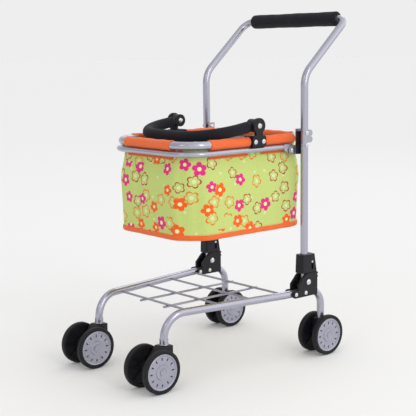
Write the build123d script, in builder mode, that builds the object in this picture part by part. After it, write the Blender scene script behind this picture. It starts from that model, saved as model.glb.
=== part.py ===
from build123d import *

import os
from math import cos, radians, sin

# A child's folding shopping trolley: a bent-tube base on four pairs of wheels, an upright
# push handle that folds on the base, and a fabric basket that hangs in a hoop on the handle.
# Millimetres. +Z is up, +Y points to the push handle, and X = 0 is the plane of symmetry.
# The origin is on the floor, midway between the front tyres and the back of the push grip.
# Left and right are those of the child who pushes it, so left is +X.

sides = {"left": 1, "right": -1}

# ---------------------------------------------------------------- driving sizes
overall_height = 600.0      # floor to the top of the push grip
rolling_length = 420.0      # front of the front tyres to the back of the rear tyres
front_width = 240.0         # over the front tyres
rear_width = 300.0          # over the rear tyres
grip_overhang = 40.7        # push grip behind the rear tyres

# clearances
running_gap = 0.05          # radial, pin in a hole it turns in
body_gap = 0.4              # between faces of pieces that move apart
slide_gap = 0.3             # radial, lock sleeve on the post

moulded_edge_r = 2.0        # rounded edges of caster bodies and axle blocks

# wheels
wheel_d = 71.0
tyre_width = 9.5
tyre_shoulder = 2.1
tyre_bed_d = 59.4           # inside of the tyre, where the disc sits
hub_d = 16.0
web_inner = 2.8             # from the wheel's inner side to its web
web_outer = 5.2             # from the wheel's inner side to the back of the disc
rib_count = 8
rib_width = 1.6
rib_bury = 0.5              # how far a rib's ends sink into the hub and the tyre
rib_foot_height = 0.6       # from the wheel's inner side to the rib's edge
rib_sink = 0.2              # how far the rib sinks into the web
disc_gap = 0.3              # radial, disc in the tyre bed
disc_rim_height = 8.6       # all disc heights are from the wheel's inner side
disc_face_height = 7.4
disc_rim_profile = ((0.0, 0.0), (1.2, 0.5), (2.8, 0.0))   # in from the disc's edge, above its rim
disc_rim_foot = 3.6         # in from the disc's edge to the flat face
dome_height = 9.0
dome_radii = (12.6, 11.6, 7.4, 6.6)   # foot, shoulder, and the dish in its top
dome_dish = 0.8
boss_radii = (5.0, 4.6)     # foot and top of the boss in the middle
boss_height = 9.4
slot_count = 12
slot_ring_r = 21.5
slot_length = 5.0
slot_width = 2.2
window_ring_r = 15.5
window_arc = 44.0           # degrees, each of the three long windows
axle_d = 6.0
front_pair_width = 58.0
rear_pair_width = 44.0

# casters
caster_trail = 25.0         # front axle ahead of the swivel
caster_body_width = 24.0
axle_boss_d = 21.0
swivel_boss_d = 20.0
caster_top = 69.6           # height of the housing
swivel_pin_d = 8.0
swivel_pin_depth = 24.0     # pin inside the housing
caster_pin_floor = 4.0      # housing under the pin, at its back
swivel_pin_height = 8.5     # pin above the collar's flange
collar_d = 17.0
collar_height = 10.0
collar_flange = 2.0

# base frame
tube_d = 13.0
tube_wall = 1.2
side_tube_z = 118.0
front_bend_r = 38.0
splay_bend_r = 120.0
rear_bend_r = 30.0
splay_end_setback = 86.5    # rear axle to where the side tubes run parallel
rear_tube_foot_z = 46.0
axle_block_width = 19.0
axle_block_length = 20.0
axle_block_top = 64.0
wire_d = 3.9
cross_wire_count = 4
cross_wire_pitch = 63.0
last_wire_setback = 80.5    # rear axle to the rearmost cross wire
cross_wire_drop = 2.0       # side tube centre to the cross wires
long_wire_x = 32.0
long_wire_overhang = 8.0
wire_weld = 0.5             # how far crossing wires sink into each other

# fold bracket
post_setback = 41.5         # rear axle to the post
pivot_rise = 18.0           # side tube to the fold pivot
fold_pin_d = 6.0
fold_pin_head = (10.0, 2.0)           # head diameter and height, here and below
bracket_width = 22.0
bracket_channel = 13.6
bracket_knuckle_r = 15.4
bracket_back = 22.0         # pivot to the bracket's back
bracket_back_wall = 3.5
bracket_lobe_front = 36.0   # pivot to the front of the rivet lobe
bracket_shoulder = 24.0     # pivot to the front of the cheeks
bracket_skirt = 6.5         # side tube centre to the bracket's lower edge
bracket_shoulder_drop = 2.6 # pivot down to the top of the cheeks' front
bracket_lobe_r = 4.5
bracket_rib = 1.2
bracket_rib_height = 3.0
bracket_rib_zs = (25.5, 31.5)   # heights from the side tube
saddle_rivet_d = 4.0
saddle_rivet_head = (7.2, 1.6)
saddle_rivet_setbacks = (30.0, 6.6)   # pivot to the two saddle rivets

# lock sleeve
sleeve_lift = 11.0
sleeve_height = 32.0
sleeve_front = 13.0         # post centre to the sleeve's front and back, at its foot
sleeve_back = 23.0
sleeve_back_slope = 5.0     # how far its back leans in towards the top
sleeve_width = 20.0
sleeve_draft = 1.0          # how much each side draws in towards the top
sleeve_corner_r = 3.0
latch_pin_setback = 10.5    # post centre to the latch pin
latch_pin_rise = 18.7       # sleeve's foot to the latch pin
latch_pin_d = 4.0
latch_block_width = 9.6
latch_block_height = 11.0
latch_block_back = 14.6     # post centre to the block's back

# push handle
post_foot_drop = 8.0        # post's end below the fold pivot
post_bend_z = 492.0
post_bend_r = 40.0
grip_bend_r = 20.0
grip_d = 26.0
grip_length = 212.0
grip_edge_r = 4.0

# hoop and its plates
hoop_z = 371.0
hoop_d = 9.0
hoop_wall = 0.9
hoop_half_width = 108.5
hoop_front_setback = 240.0  # post to the hoop's front
hoop_corner_r = 46.0
hoop_pivot_setback = 16.0   # post to the hoop pivot
hoop_pivot_drop = 6.0       # hoop to its pivot
hoop_tab_thickness = 3.0
hoop_tab_r = 7.5
hoop_tab_length = 17.0      # pivot forward to the end of the tab
hoop_pivot_d = 4.5
hoop_pivot_head = (8.5, 1.8)
plate_thickness = 2.0
clamp_rivet_rises = (2.5, 23.0)   # hoop to the two clamp rivets
clamp_rivet_d = 4.5
clamp_rivet_head = (8.0, 1.6)
plate_edge = 7.0            # plate round its rivets
spacer_front = 7.5          # post centre to the spacer's front and back
spacer_rise = 26.0          # hoop to the spacer's top
spacer_drop = 13.0          # hoop to the spacer's foot
clip_back = 8.5             # post centre to the middle of the clip's lobes
clip_lobe_r = 5.5
clip_width = 12.0
clip_notch = 2.0            # how much shorter the clip's web is than its two lobes

# basket
rim_d = 14.0
rim_wall = 1.2
rim_inset = 5.5             # hoop to rim, in plan
rim_rear_overhang = 20.0    # post to the rim's rear, behind it
rim_front_corner_r = 42.0
rim_rear_corner_r = 25.0
rim_joint_gap = 0.5
rim_sleeve_d = 17.0
bag_inset = 3.5             # rim centre to the bag's outside
bag_wall = 2.0
bag_height = 144.5
piping_height = 8.0
piping_thickness = 1.5
board_gap = 0.5
board_thickness = 3.0

# carrying handle of the basket
handle_pivot_back = 142.5   # rim's front to the pivot
handle_pivot_rise = 26.2    # rim to the pivot
handle_bracket_length = 30.0
handle_bracket_in = 10.0    # rim centre to the block's inner and outer faces
handle_bracket_out = 12.0
handle_bracket_above = 10.0
handle_bracket_below = 8.3
handle_bracket_r = 5.0
handle_plate_thickness = 5.0
handle_neck_width = 15.0
handle_lobe_r = 13.0
handle_bolt_pitch = 18.0
handle_bolt_d = 4.0
handle_bolt_head = (8.0, 1.8)
handle_pivot_d = 5.0
handle_pivot_head = (9.0, 2.2)
handle_tube_d = 9.5
handle_tube_wall = 1.0
handle_foam_d = 19.0
handle_reach = 104.0
handle_corner_r = 69.0
handle_tilt = 8.5           # degrees below level, resting on the rim's sleeves
handle_knuckle_d = 22.0
handle_knuckle_wall = 2.0   # of the neck, round the tube
handle_knuckle_face = 0.4   # neck to the knuckle's inner face
handle_knuckle_seat = 3.0   # how far the tube reaches into the knuckle
handle_foam_start = 15.0    # pivot to the end of the foam

# ---------------------------------------------------------------- places worked out
wheel_r = wheel_d / 2
total_length = rolling_length + grip_overhang
front_y = -total_length / 2
front_axle_y = front_y + wheel_r
rear_axle_y = front_y + rolling_length - wheel_r
swivel_y = front_axle_y + caster_trail
front_leg_x = front_width / 2 - front_pair_width / 2
rear_leg_x = rear_width / 2 - rear_pair_width / 2
caster_flange_z = caster_top + body_gap
post_y = rear_axle_y - post_setback
pivot_z = side_tube_z + pivot_rise
splay_end_y = rear_axle_y - splay_end_setback
saddle_rivet_ys = [post_y - setback for setback in saddle_rivet_setbacks]
grip_y = total_length / 2 - grip_d / 2
grip_z = overall_height - grip_d / 2
sleeve_foot_z = pivot_z + bracket_knuckle_r + body_gap
sleeve_top_z = sleeve_foot_z + sleeve_height
latch_y = post_y + latch_pin_setback
latch_z = sleeve_foot_z + latch_pin_rise
hoop_front_y = post_y - hoop_front_setback
hoop_pivot_y = post_y - hoop_pivot_setback
hoop_pivot_z = hoop_z - hoop_pivot_drop
plate_x = hoop_half_width + hoop_d / 2 + body_gap          # inner face of the plates
spacer_x = plate_x + plate_thickness
clip_x = rear_leg_x - clip_width / 2                       # inner face of the rear clips
clamp_rivet_zs = [hoop_z + rise for rise in clamp_rivet_rises]
rim_z = hoop_z + hoop_d / 2 + rim_sleeve_d / 2 + body_gap
rim_half_width = hoop_half_width - rim_inset
rim_front_y = hoop_front_y + rim_inset
rim_rear_y = post_y + rim_rear_overhang
bag_top_z = rim_z - rim_sleeve_d / 2 - body_gap
bag_foot_z = bag_top_z - bag_height
handle_pivot_y = rim_front_y + handle_pivot_back
handle_pivot_z = rim_z + handle_pivot_rise
handle_plate_out = rim_half_width + handle_bracket_out
handle_plate_in = handle_plate_out - handle_plate_thickness
handle_arm_x = handle_plate_in - body_gap - handle_foam_d / 2

os.makedirs("parts", exist_ok=True)


# ---------------------------------------------------------------- shared shapes
def save(piece, name):
    """Names a finished piece and writes it as its own STEP file."""
    piece.part.label = name
    export_step(piece.part, f"parts/{name}.step")


def bent_tube(points, bends, outer_d, wall=0.0):
    """A round tube of straight runs and bends. Without a wall it is a filled bar."""
    with BuildPart() as bent:
        with BuildLine():
            route = FilletPolyline(*points, radius=bends)
        with BuildSketch(Plane(origin=route @ 0, z_dir=route % 0)):
            Circle(outer_d / 2)
            if wall:
                Circle(outer_d / 2 - wall, mode=Mode.SUBTRACT)
        sweep()
    return bent.part


def bore_across(x_from, x_to, y, z, diameter, mode=Mode.SUBTRACT):
    """A round bore along X, or with mode ADD a round bar, in the piece being made."""
    with BuildSketch(Plane.YZ.offset(min(x_from, x_to))) as section:
        with Locations((y, z)):
            Circle(diameter / 2)
    extrude(section.sketch, amount=abs(x_to - x_from), mode=mode)


def rivet_across(x_from, x_to, y, z, diameter, head_d, head_height):
    """A rivet along X with a rounded head on each end, in the piece being made."""
    low, high = sorted((x_from, x_to))
    bore_across(low, high, y, z, diameter, mode=Mode.ADD)
    for face, outward in ((low, -1), (high, 1)):
        section = Plane(origin=(face, y, z), x_dir=(0, 0, 1), z_dir=(0, outward, 0))
        with BuildSketch(section) as dome:
            with BuildLine():
                Polyline(
                    (0, 0),
                    (head_d / 2, 0),
                    (head_d / 2, head_height * 0.35),
                    (head_d * 0.4, head_height * 0.8),
                    (head_d * 0.24, head_height),
                    (0, head_height),
                    close=True,
                )
            make_face()
        revolve(dome.sketch, axis=Axis((face, y, z), (1, 0, 0)))


def side_tube_route(side):
    """Corners of one side tube: front leg, splayed rail, parallel rail, rear leg."""
    return [
        (side * front_leg_x, swivel_y, caster_flange_z + collar_flange),
        (side * front_leg_x, swivel_y, side_tube_z),
        (side * rear_leg_x, splay_end_y, side_tube_z),
        (side * rear_leg_x, rear_axle_y, side_tube_z),
        (side * rear_leg_x, rear_axle_y, rear_tube_foot_z),
    ]


side_tube_bends = [front_bend_r, splay_bend_r, rear_bend_r]


def rail_x(y):
    """Distance of a side rail's centre from the plane of symmetry at y."""
    share = (y - swivel_y) / (splay_end_y - swivel_y)
    return front_leg_x + (rear_leg_x - front_leg_x) * min(share, 1.0)


def post_bar(side, low_z, high_z):
    """The outside of a post between two heights, as a filled bar to cut seats with."""
    with BuildPart() as bar:
        with BuildSketch(Plane.XY.offset(low_z)):
            with Locations((side * rear_leg_x, post_y)):
                Circle(tube_d / 2)
        extrude(amount=high_z - low_z)
    return bar.part


# ---------------------------------------------------------------- base frame
for name, side in sides.items():
    tube = bent_tube(side_tube_route(side), side_tube_bends, tube_d, tube_wall)
    with BuildPart() as side_tube:
        add(tube)
        for y in saddle_rivet_ys:
            low_x = side * rear_leg_x - tube_d
            bore_across(low_x, low_x + 2 * tube_d, y, side_tube_z, saddle_rivet_d)
    save(side_tube, f"side_tube_{name}")

# Four cross wires butt against the rails, and two long wires are welded under them.
last_wire_y = rear_axle_y - last_wire_setback
cross_wire_ys = [last_wire_y - i * cross_wire_pitch for i in range(cross_wire_count)]
cross_wire_z = side_tube_z - cross_wire_drop
long_wire_z = cross_wire_z - wire_d + wire_weld
long_wire_front = cross_wire_ys[-1] - long_wire_overhang
long_wire_rear = cross_wire_ys[0] + 2 * long_wire_overhang
rails = [bent_tube(side_tube_route(side), side_tube_bends, tube_d) for side in sides.values()]
with BuildPart() as shelf_grid:
    for y in cross_wire_ys:
        bore_across(-rail_x(y), rail_x(y), y, cross_wire_z, wire_d, mode=Mode.ADD)
    for x in (-long_wire_x, long_wire_x):
        with BuildSketch(Plane.XZ.offset(-long_wire_rear)):
            with Locations((x, long_wire_z)):
                Circle(wire_d / 2)
        extrude(amount=long_wire_rear - long_wire_front)
    for rail in rails:
        add(rail, mode=Mode.SUBTRACT)
save(shelf_grid, "shelf_grid")

# A collar plugs each front leg and holds the swivel pin of its caster.
swivel_pin_top = caster_flange_z + swivel_pin_height
with BuildPart() as caster_collars:
    for side in sides.values():
        centre = (side * front_leg_x, swivel_y, caster_flange_z)
        with BuildSketch(Plane(origin=centre, x_dir=(1, 0, 0), z_dir=(0, -1, 0))):
            with BuildLine():
                Polyline(
                    (swivel_pin_d / 2, 0),
                    (collar_d / 2, 0),
                    (collar_d / 2, collar_height),
                    (tube_d / 2, collar_height),
                    (tube_d / 2, collar_flange),
                    (tube_d / 2 - tube_wall, collar_flange),
                    (tube_d / 2 - tube_wall, swivel_pin_height),
                    (swivel_pin_d / 2, swivel_pin_height),
                    close=True,
                )
            make_face()
        revolve(axis=Axis(centre, (0, 0, 1)))
save(caster_collars, "caster_collars")

with BuildPart() as swivel_pins:
    for side in sides.values():
        with BuildSketch(Plane.XY.offset(caster_top - swivel_pin_depth)):
            with Locations((side * front_leg_x, swivel_y)):
                Circle(swivel_pin_d / 2)
        extrude(amount=swivel_pin_top - caster_top + swivel_pin_depth)
save(swivel_pins, "swivel_pins")

for name, side in sides.items():
    with BuildPart() as axle_block:
        with BuildSketch(Plane.YZ.offset(side * rear_leg_x - axle_block_width / 2)):
            with BuildLine():
                CenterArc((rear_axle_y, wheel_r), axle_boss_d / 2, 0, 360)
                Polyline(
                    (rear_axle_y - axle_block_length / 2, axle_block_top),
                    (rear_axle_y + axle_block_length / 2, axle_block_top),
                    (rear_axle_y, axle_block_top - 1.0),
                    close=True,
                )
            make_hull()
        extrude(amount=axle_block_width)
        fillet(axle_block.edges().group_by(Axis.Z)[-1], moulded_edge_r)
        with BuildSketch(Plane.XY.offset(rear_tube_foot_z)):
            with Locations((side * rear_leg_x, rear_axle_y)):
                Circle(tube_d / 2)
        extrude(amount=axle_block_top - rear_tube_foot_z, mode=Mode.SUBTRACT)
        bore_across(-rear_width, rear_width, rear_axle_y, wheel_r, axle_d)
    save(axle_block, f"rear_axle_block_{name}")

# ---------------------------------------------------------------- fold brackets
knuckle_lean = bracket_knuckle_r * cos(radians(45))    # where the cheek's front edge leaves the knuckle
skirt_z = side_tube_z - bracket_skirt
for number, (name, side) in enumerate(sides.items()):
    low_x = side * rear_leg_x - bracket_width / 2
    with BuildPart() as fold_bracket:
        with BuildSketch(Plane.YZ.offset(low_x)):
            with BuildLine():
                Polyline(
                    (post_y, pivot_z + bracket_knuckle_r),
                    (post_y + bracket_back, pivot_z + bracket_knuckle_r),
                    (post_y + bracket_back, skirt_z),
                    (post_y - bracket_lobe_front, skirt_z),
                    (post_y - bracket_lobe_front, side_tube_z + tube_d / 2),
                    (post_y - bracket_shoulder, side_tube_z + tube_d / 2),
                    (post_y - bracket_shoulder, pivot_z - bracket_shoulder_drop),
                    (post_y - knuckle_lean, pivot_z + knuckle_lean),
                )
                RadiusArc(
                    (post_y - knuckle_lean, pivot_z + knuckle_lean),
                    (post_y, pivot_z + bracket_knuckle_r),
                    bracket_knuckle_r,
                )
            make_face()
        extrude(amount=bracket_width)
        lobe_edges = fold_bracket.edges().filter_by(Axis.X).group_by(Axis.Y)[0]
        fillet(lobe_edges, bracket_lobe_r)
        for rise in bracket_rib_zs:
            with BuildSketch(Plane.XZ.offset(-(post_y + bracket_back + bracket_rib))):
                with Locations((side * rear_leg_x, side_tube_z + rise)):
                    Rectangle(bracket_width, bracket_rib_height)
            extrude(amount=bracket_rib)
        with BuildSketch(Plane.XZ.offset(-(post_y + bracket_back - bracket_back_wall))):
            with Locations((side * rear_leg_x, side_tube_z)):
                Rectangle(bracket_channel, 2 * bracket_width, align=(Align.CENTER, Align.MIN))
        extrude(amount=bracket_lobe_front + bracket_back, mode=Mode.SUBTRACT)
        with BuildSketch(Plane.XZ.offset(-(post_y + bracket_back + bracket_rib))):
            with Locations((side * rear_leg_x, side_tube_z)):
                Rectangle(tube_d, 2 * bracket_skirt, align=(Align.CENTER, Align.MAX))
        extrude(amount=bracket_lobe_front + bracket_back + bracket_rib, mode=Mode.SUBTRACT)
        add(rails[number], mode=Mode.SUBTRACT)
        for y in saddle_rivet_ys:
            bore_across(low_x, low_x + bracket_width, y, side_tube_z, saddle_rivet_d)
        bore_across(low_x, low_x + bracket_width, post_y, pivot_z, fold_pin_d)
    save(fold_bracket, f"fold_bracket_{name}")

with BuildPart() as bracket_rivets:
    for side in sides.values():
        for y in saddle_rivet_ys:
            low_x = side * rear_leg_x - bracket_width / 2
            rivet_across(low_x, low_x + bracket_width, y, side_tube_z, saddle_rivet_d, *saddle_rivet_head)
save(bracket_rivets, "bracket_rivets")

with BuildPart() as fold_pivot_pins:
    for side in sides.values():
        low_x = side * rear_leg_x - bracket_width / 2
        rivet_across(low_x, low_x + bracket_width, post_y, pivot_z, fold_pin_d, *fold_pin_head)
save(fold_pivot_pins, "fold_pivot_pins")

# ---------------------------------------------------------------- push handle
handle_route = [
    (rear_leg_x, post_y, pivot_z - post_foot_drop),
    (rear_leg_x, post_y, post_bend_z),
    (rear_leg_x, grip_y, grip_z),
    (-rear_leg_x, grip_y, grip_z),
    (-rear_leg_x, post_y, post_bend_z),
    (-rear_leg_x, post_y, pivot_z - post_foot_drop),
]
handle_bends = [post_bend_r, grip_bend_r, grip_bend_r, post_bend_r]
handle_tube = bent_tube(handle_route, handle_bends, tube_d, tube_wall)
with BuildPart() as push_handle_tube:
    add(handle_tube)
    for side in sides.values():
        low_x = side * rear_leg_x - tube_d
        bore_across(low_x, low_x + 2 * tube_d, post_y, pivot_z, fold_pin_d + 2 * running_gap)
        for z in clamp_rivet_zs:
            bore_across(low_x, low_x + 2 * tube_d, post_y, z, clamp_rivet_d)
save(push_handle_tube, "push_handle_tube")

with BuildPart() as push_grip:
    bore_across(-grip_length / 2, grip_length / 2, grip_y, grip_z, grip_d, mode=Mode.ADD)
    fillet(push_grip.edges(), grip_edge_r)
    bore_across(-grip_length / 2, grip_length / 2, grip_y, grip_z, tube_d)
save(push_grip, "push_grip")

# Inside each lock sleeve a block on the back of the post carries the latch pin.
block_foot_z = latch_z - latch_block_height / 2
with BuildPart() as latch_blocks:
    for side in sides.values():
        with BuildSketch(Plane.XY.offset(block_foot_z)):
            with Locations((side * rear_leg_x, post_y)):
                Rectangle(latch_block_width, latch_block_back, align=(Align.CENTER, Align.MIN))
        extrude(amount=latch_block_height)
        with BuildSketch(Plane.XY.offset(block_foot_z)):
            with Locations((side * rear_leg_x, post_y)):
                Circle(tube_d / 2)
        extrude(amount=latch_block_height, mode=Mode.SUBTRACT)
        low_x = side * rear_leg_x - sleeve_width
        bore_across(low_x, low_x + 2 * sleeve_width, latch_y, latch_z, latch_pin_d)
save(latch_blocks, "latch_blocks")

with BuildPart() as latch_pins:
    for side in sides.values():
        low_x = side * rear_leg_x - sleeve_width / 2
        bore_across(low_x, low_x + sleeve_width, latch_y, latch_z, latch_pin_d, mode=Mode.ADD)
save(latch_pins, "latch_pins")

for name, side in sides.items():
    with BuildPart() as lock_sleeve:
        for z, draft, slope in ((sleeve_foot_z, 0.0, 0.0), (sleeve_top_z, sleeve_draft, sleeve_back_slope)):
            front = post_y - sleeve_front + draft
            rear = post_y + sleeve_back - slope
            centre = (side * rear_leg_x, (front + rear) / 2, z)
            with BuildSketch(Plane(origin=centre, z_dir=(0, 0, 1))):
                RectangleRounded(sleeve_width - draft, rear - front, sleeve_corner_r)
        loft()
        with BuildSketch(Plane.XY.offset(sleeve_foot_z)):
            with Locations((side * rear_leg_x, post_y)):
                Circle(tube_d / 2 + slide_gap)
        extrude(amount=sleeve_height, mode=Mode.SUBTRACT)
        pocket_top = latch_z + latch_block_height / 2 + slide_gap
        with BuildSketch(Plane.XY.offset(sleeve_foot_z)):
            with Locations((side * rear_leg_x, post_y)):
                Rectangle(
                    latch_block_width + 2 * slide_gap,
                    latch_block_back + slide_gap,
                    align=(Align.CENTER, Align.MIN),
                )
        extrude(amount=pocket_top - sleeve_foot_z, mode=Mode.SUBTRACT)
        with BuildSketch(Plane.YZ.offset(side * rear_leg_x - sleeve_width)):
            with Locations((latch_y, latch_z - sleeve_lift / 2)):
                SlotCenterToCenter(sleeve_lift, latch_pin_d + 2 * slide_gap, rotation=90)
        extrude(amount=2 * sleeve_width, mode=Mode.SUBTRACT)
    save(lock_sleeve, f"lock_sleeve_{name}")

# ---------------------------------------------------------------- hoop and its plates
plate_back = post_y + plate_edge
with BuildPart() as hoop_plates:
    for side in sides.values():
        low_x = min(side * plate_x, side * spacer_x)
        with BuildSketch(Plane.YZ.offset(low_x)):
            with BuildLine():
                CenterArc((hoop_pivot_y, hoop_pivot_z), hoop_tab_r, 0, 360)
                Polyline(
                    (post_y - plate_edge, clamp_rivet_zs[0]),
                    (plate_back, clamp_rivet_zs[0]),
                    (plate_back, hoop_pivot_z - hoop_tab_r),
                    close=True,
                )
            make_hull()
            with BuildLine():
                Polyline(
                    (post_y - plate_edge, hoop_pivot_z),
                    (plate_back, hoop_pivot_z),
                    (plate_back, clamp_rivet_zs[1] + plate_edge),
                    (post_y - plate_edge, clamp_rivet_zs[1] + plate_edge),
                    close=True,
                )
            make_face()
        extrude(amount=plate_thickness)
        bore_across(low_x, low_x + plate_thickness, hoop_pivot_y, hoop_pivot_z, hoop_pivot_d)
        for z in clamp_rivet_zs:
            bore_across(low_x, low_x + plate_thickness, post_y, z, clamp_rivet_d)
save(hoop_plates, "hoop_plates")

with BuildPart() as hoop_spacers:
    for side in sides.values():
        low_x = min(side * spacer_x, side * clip_x)
        with BuildSketch(Plane.YZ.offset(low_x)):
            with Locations((post_y, hoop_z - spacer_drop)):
                Rectangle(2 * spacer_front, spacer_rise + spacer_drop, align=(Align.CENTER, Align.MIN))
        extrude(amount=clip_x - spacer_x)
        add(post_bar(side, hoop_z - 2 * spacer_drop, hoop_z + 2 * spacer_rise), mode=Mode.SUBTRACT)
        for z in clamp_rivet_zs:
            bore_across(low_x, low_x + clip_x - spacer_x, post_y, z, clamp_rivet_d)
save(hoop_spacers, "hoop_spacers")

with BuildPart() as rear_clips:
    for side in sides.values():
        with BuildSketch(Plane.YZ.offset(side * rear_leg_x - clip_width / 2)):
            for z in (clamp_rivet_zs[1], clamp_rivet_zs[1] - 2 * clip_lobe_r):
                with Locations((post_y + clip_back, z)):
                    Circle(clip_lobe_r)
            with Locations((post_y + clip_back / 2, clamp_rivet_zs[1] - clip_lobe_r)):
                Rectangle(clip_back, 4 * clip_lobe_r - clip_notch)
        extrude(amount=clip_width)
        add(post_bar(side, hoop_z - 2 * spacer_drop, hoop_z + 2 * spacer_rise), mode=Mode.SUBTRACT)
        with BuildSketch(Plane.XZ.offset(-post_y)):
            with Locations((side * rear_leg_x, hoop_z)):
                Rectangle(2 * clip_width, 4 * spacer_rise)
        extrude(amount=2 * clip_back, mode=Mode.SUBTRACT)
        for z in clamp_rivet_zs:
            low_x = side * rear_leg_x - clip_width
            bore_across(low_x, low_x + 2 * clip_width, post_y, z, clamp_rivet_d)
save(rear_clips, "rear_clips")

with BuildPart() as clamp_rivets:
    for side in sides.values():
        for z in clamp_rivet_zs:
            far_x = side * (rear_leg_x + tube_d / 2)
            rivet_across(side * plate_x, far_x, post_y, z, clamp_rivet_d, *clamp_rivet_head)
save(clamp_rivets, "clamp_rivets")

hoop_tab_x = hoop_half_width + hoop_d / 2 - hoop_tab_thickness     # inner face of the tabs
with BuildPart() as hoop_pivot_rivets:
    for side in sides.values():
        rivet_across(
            side * hoop_tab_x,
            side * spacer_x,
            hoop_pivot_y,
            hoop_pivot_z,
            hoop_pivot_d,
            *hoop_pivot_head,
        )
save(hoop_pivot_rivets, "hoop_pivot_rivets")

hoop_route = [
    (hoop_half_width, hoop_pivot_y - hoop_tab_r, hoop_z),
    (hoop_half_width, hoop_front_y, hoop_z),
    (-hoop_half_width, hoop_front_y, hoop_z),
    (-hoop_half_width, hoop_pivot_y - hoop_tab_r, hoop_z),
]
hoop_tube = bent_tube(hoop_route, [hoop_corner_r, hoop_corner_r], hoop_d, hoop_wall)
hoop_bar = bent_tube(hoop_route, [hoop_corner_r, hoop_corner_r], hoop_d)
with BuildPart() as support_hoop:
    for side in sides.values():
        low_x = min(side * hoop_tab_x, side * (hoop_tab_x + hoop_tab_thickness))
        with BuildSketch(Plane.YZ.offset(low_x)):
            with BuildLine():
                CenterArc((hoop_pivot_y, hoop_pivot_z), hoop_tab_r, 0, 360)
                Polyline(
                    (hoop_pivot_y, hoop_z + hoop_d / 2),
                    (hoop_pivot_y - hoop_tab_length, hoop_z + hoop_d / 2),
                    (hoop_pivot_y - hoop_tab_length, hoop_z - hoop_d / 2),
                    close=True,
                )
            make_hull()
        extrude(amount=hoop_tab_thickness)
        hole_d = hoop_pivot_d + 2 * running_gap
        bore_across(low_x, low_x + hoop_tab_thickness, hoop_pivot_y, hoop_pivot_z, hole_d)
    add(hoop_bar, mode=Mode.SUBTRACT)
    add(hoop_tube)
save(support_hoop, "support_hoop")


# ---------------------------------------------------------------- basket
def plan_outline(inset):
    """The basket's outline in plan, in the sketch being made, inset from the rim's centre."""
    middle_y = (rim_front_y + rim_rear_y) / 2
    rear = rim_rear_y - inset
    for corner_r, front in ((rim_front_corner_r, rim_front_y + inset), (rim_rear_corner_r, middle_y)):
        with Locations((0, (front + rear) / 2)):
            RectangleRounded(2 * (rim_half_width - inset), rear - front, corner_r - inset)


rim_route = [
    (rim_joint_gap / 2, rim_rear_y, rim_z),
    (rim_half_width, rim_rear_y, rim_z),
    (rim_half_width, rim_front_y, rim_z),
    (-rim_half_width, rim_front_y, rim_z),
    (-rim_half_width, rim_rear_y, rim_z),
    (-rim_joint_gap / 2, rim_rear_y, rim_z),
]
rim_bends = [rim_rear_corner_r, rim_front_corner_r, rim_front_corner_r, rim_rear_corner_r]
rim_tube = bent_tube(rim_route, rim_bends, rim_d, rim_wall)
rim_bar = bent_tube(rim_route, rim_bends, rim_d)
bolt_ys = [handle_pivot_y - handle_bolt_pitch / 2, handle_pivot_y + handle_bolt_pitch / 2]
block_in = rim_half_width - handle_bracket_in
with BuildPart() as basket_rim:
    add(rim_tube)
    for y in bolt_ys:
        bore_across(-handle_plate_out, handle_plate_out, y, rim_z, handle_bolt_d)
save(basket_rim, "basket_rim")


def rim_sleeve_across(y, corner_r):
    """A fabric sleeve on the straight front or rear run of the rim."""
    half = rim_half_width - corner_r
    bore_across(-half, half, y, rim_z, rim_sleeve_d, mode=Mode.ADD)
    bore_across(-half, half, y, rim_z, rim_d)


with BuildPart() as rim_sleeve_front:
    rim_sleeve_across(rim_front_y, rim_front_corner_r)
save(rim_sleeve_front, "rim_sleeve_front")

with BuildPart() as rim_sleeve_rear:
    rim_sleeve_across(rim_rear_y, rim_rear_corner_r)
save(rim_sleeve_rear, "rim_sleeve_rear")

bracket_front_y = handle_pivot_y - handle_bracket_length / 2
bracket_rear_y = handle_pivot_y + handle_bracket_length / 2
sleeve_runs = [
    (rim_front_y + rim_front_corner_r, bracket_front_y),
    (bracket_rear_y, rim_rear_y - rim_rear_corner_r),
]
for name, side in sides.items():
    with BuildPart() as rim_sleeves:
        for run_from, run_to in sleeve_runs:
            with BuildSketch(Plane.XZ.offset(-run_to)):
                with Locations((side * rim_half_width, rim_z)):
                    Circle(rim_sleeve_d / 2)
                    Circle(rim_d / 2, mode=Mode.SUBTRACT)
            extrude(amount=run_to - run_from)
    save(rim_sleeves, f"rim_sleeves_{name}")

with BuildPart() as bag:
    with BuildSketch(Plane.XY.offset(bag_foot_z)):
        plan_outline(bag_inset)
    extrude(amount=bag_height)
    with BuildSketch(Plane.XY.offset(bag_foot_z + bag_wall)):
        plan_outline(bag_inset + bag_wall)
    extrude(amount=bag_height, mode=Mode.SUBTRACT)
save(bag, "bag")

with BuildPart() as bottom_board:
    with BuildSketch(Plane.XY.offset(bag_foot_z + bag_wall)):
        plan_outline(bag_inset + bag_wall + board_gap)
    extrude(amount=board_thickness)
save(bottom_board, "bottom_board")

with BuildPart() as bag_piping:
    with BuildSketch(Plane.XY.offset(bag_foot_z)):
        plan_outline(bag_inset - piping_thickness)
    extrude(amount=piping_height)
    with BuildSketch(Plane.XY.offset(bag_foot_z)):
        plan_outline(bag_inset)
    extrude(amount=piping_height, mode=Mode.SUBTRACT)
save(bag_piping, "bag_piping")

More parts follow.
